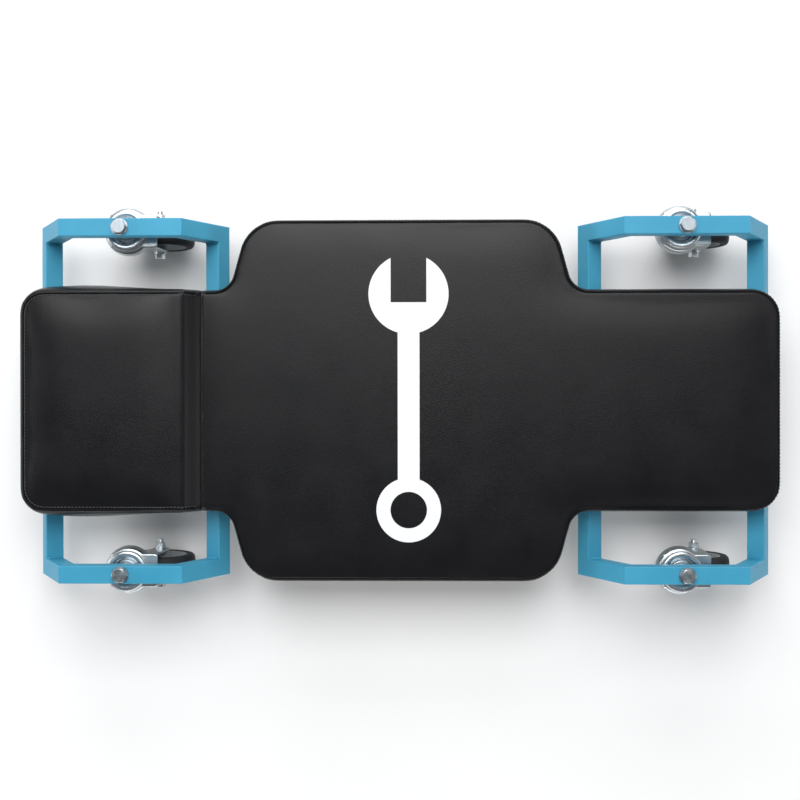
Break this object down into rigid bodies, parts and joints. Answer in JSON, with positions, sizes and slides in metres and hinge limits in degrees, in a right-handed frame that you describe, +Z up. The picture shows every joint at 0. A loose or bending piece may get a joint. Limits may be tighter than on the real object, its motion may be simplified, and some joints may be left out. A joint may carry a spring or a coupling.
{
  "type": "mechanics creeper",
  "caption": "Low mechanics creeper: black padded board with raised headrest on a blue square-tube frame with drop loops and swivel casters.",
  "frame": {"origin": "on the floor under the middle of the pad", "axes": "+X towards the foot end, +Y to the left of a person lying on the pad, +Z up"},
  "size_m": [1.081, 0.562, 0.165],
  "materials": {
    "powder_coat": "satin",
    "zinc_plate": "satin",
    "ball_steel": "polished",
    "tyre_rubber": "matte",
    "hub_plastic": "satin",
    "vinyl": "satin",
    "foam": "matte",
    "plywood": "matte",
    "washer_rubber": "matte"
  },
  "bodies": {
    "creeper_frame": {"caster_bolts": "zinc_plate", "caster_nuts": "zinc_plate", "caster_washers": "zinc_plate", "foot_inner_cross_tube": "powder_coat", "foot_left_caster_rail": "powder_coat", "foot_left_legs": "powder_coat", "foot_left_top_cup": "zinc_plate", "foot_outer_cross_tube": "powder_coat", "foot_right_caster_rail": "powder_coat", "foot_right_legs": "powder_coat", "foot_right_top_cup": "zinc_plate", "head_inner_cross_tube": "powder_coat", "head_left_caster_rail": "powder_coat", "head_left_legs": "powder_coat", "head_left_top_cup": "zinc_plate", "head_outer_cross_tube": "powder_coat", "head_right_caster_rail": "powder_coat", "head_right_legs": "powder_coat", "head_right_top_cup": "zinc_plate", "headrest_cover": "vinyl", "headrest_foam": "foam", "kingpins": "zinc_plate", "left_side_tube": "powder_coat", "pad_board": "plywood", "pad_cover": "vinyl", "pad_foam": "foam", "pad_screws": "zinc_plate", "pad_spacers": "washer_rubber", "pad_tabs": "powder_coat", "right_side_tube": "powder_coat", "tee_nuts": "zinc_plate"},
    "head_left_swivel": {"head_left_fork": "zinc_plate", "head_left_race_balls": "ball_steel", "head_left_axle_bolt": "zinc_plate", "head_left_axle_nut": "zinc_plate", "head_left_axle_sleeve": "zinc_plate"},
    "head_left_wheel": {"head_left_wheel_hub": "hub_plastic", "head_left_tyre": "tyre_rubber"},
    "head_right_swivel": {"head_right_fork": "zinc_plate", "head_right_race_balls": "ball_steel", "head_right_axle_bolt": "zinc_plate", "head_right_axle_nut": "zinc_plate", "head_right_axle_sleeve": "zinc_plate"},
    "head_right_wheel": {"head_right_wheel_hub": "hub_plastic", "head_right_tyre": "tyre_rubber"},
    "foot_left_swivel": {"foot_left_fork": "zinc_plate", "foot_left_race_balls": "ball_steel", "foot_left_axle_bolt": "zinc_plate", "foot_left_axle_nut": "zinc_plate", "foot_left_axle_sleeve": "zinc_plate"},
    "foot_left_wheel": {"foot_left_wheel_hub": "hub_plastic", "foot_left_tyre": "tyre_rubber"},
    "foot_right_swivel": {"foot_right_fork": "zinc_plate", "foot_right_race_balls": "ball_steel", "foot_right_axle_bolt": "zinc_plate", "foot_right_axle_nut": "zinc_plate", "foot_right_axle_sleeve": "zinc_plate"},
    "foot_right_wheel": {"foot_right_wheel_hub": "hub_plastic", "foot_right_tyre": "tyre_rubber"}
  },
  "joints": [
    {"name": "head_left_swivel_turn", "type": "hinge", "parent": "creeper_frame", "child": "head_left_swivel", "pos_m": [-0.3943, 0.2445, 0.13], "axis": [0, 0, 1], "continuous": true},
    {"name": "head_left_wheel_spin", "type": "hinge", "parent": "head_left_swivel", "child": "head_left_wheel", "pos_m": [-0.3608, 0.2445, 0.051], "axis": [0, 1, 0], "continuous": true},
    {"name": "head_right_swivel_turn", "type": "hinge", "parent": "creeper_frame", "child": "head_right_swivel", "pos_m": [-0.3943, -0.2445, 0.13], "axis": [0, 0, 1], "continuous": true},
    {"name": "head_right_wheel_spin", "type": "hinge", "parent": "head_right_swivel", "child": "head_right_wheel", "pos_m": [-0.3608, -0.2445, 0.051], "axis": [0, 1, 0], "continuous": true},
    {"name": "foot_left_swivel_turn", "type": "hinge", "parent": "creeper_frame", "child": "foot_left_swivel", "pos_m": [0.3993, 0.2445, 0.13], "axis": [0, 0, 1], "continuous": true},
    {"name": "foot_left_wheel_spin", "type": "hinge", "parent": "foot_left_swivel", "child": "foot_left_wheel", "pos_m": [0.4328, 0.2445, 0.051], "axis": [0, 1, 0], "continuous": true},
    {"name": "foot_right_swivel_turn", "type": "hinge", "parent": "creeper_frame", "child": "foot_right_swivel", "pos_m": [0.3993, -0.2445, 0.13], "axis": [0, 0, 1], "continuous": true},
    {"name": "foot_right_wheel_spin", "type": "hinge", "parent": "foot_right_swivel", "child": "foot_right_wheel", "pos_m": [0.4328, -0.2445, 0.051], "axis": [0, 1, 0], "continuous": true}
  ]
}
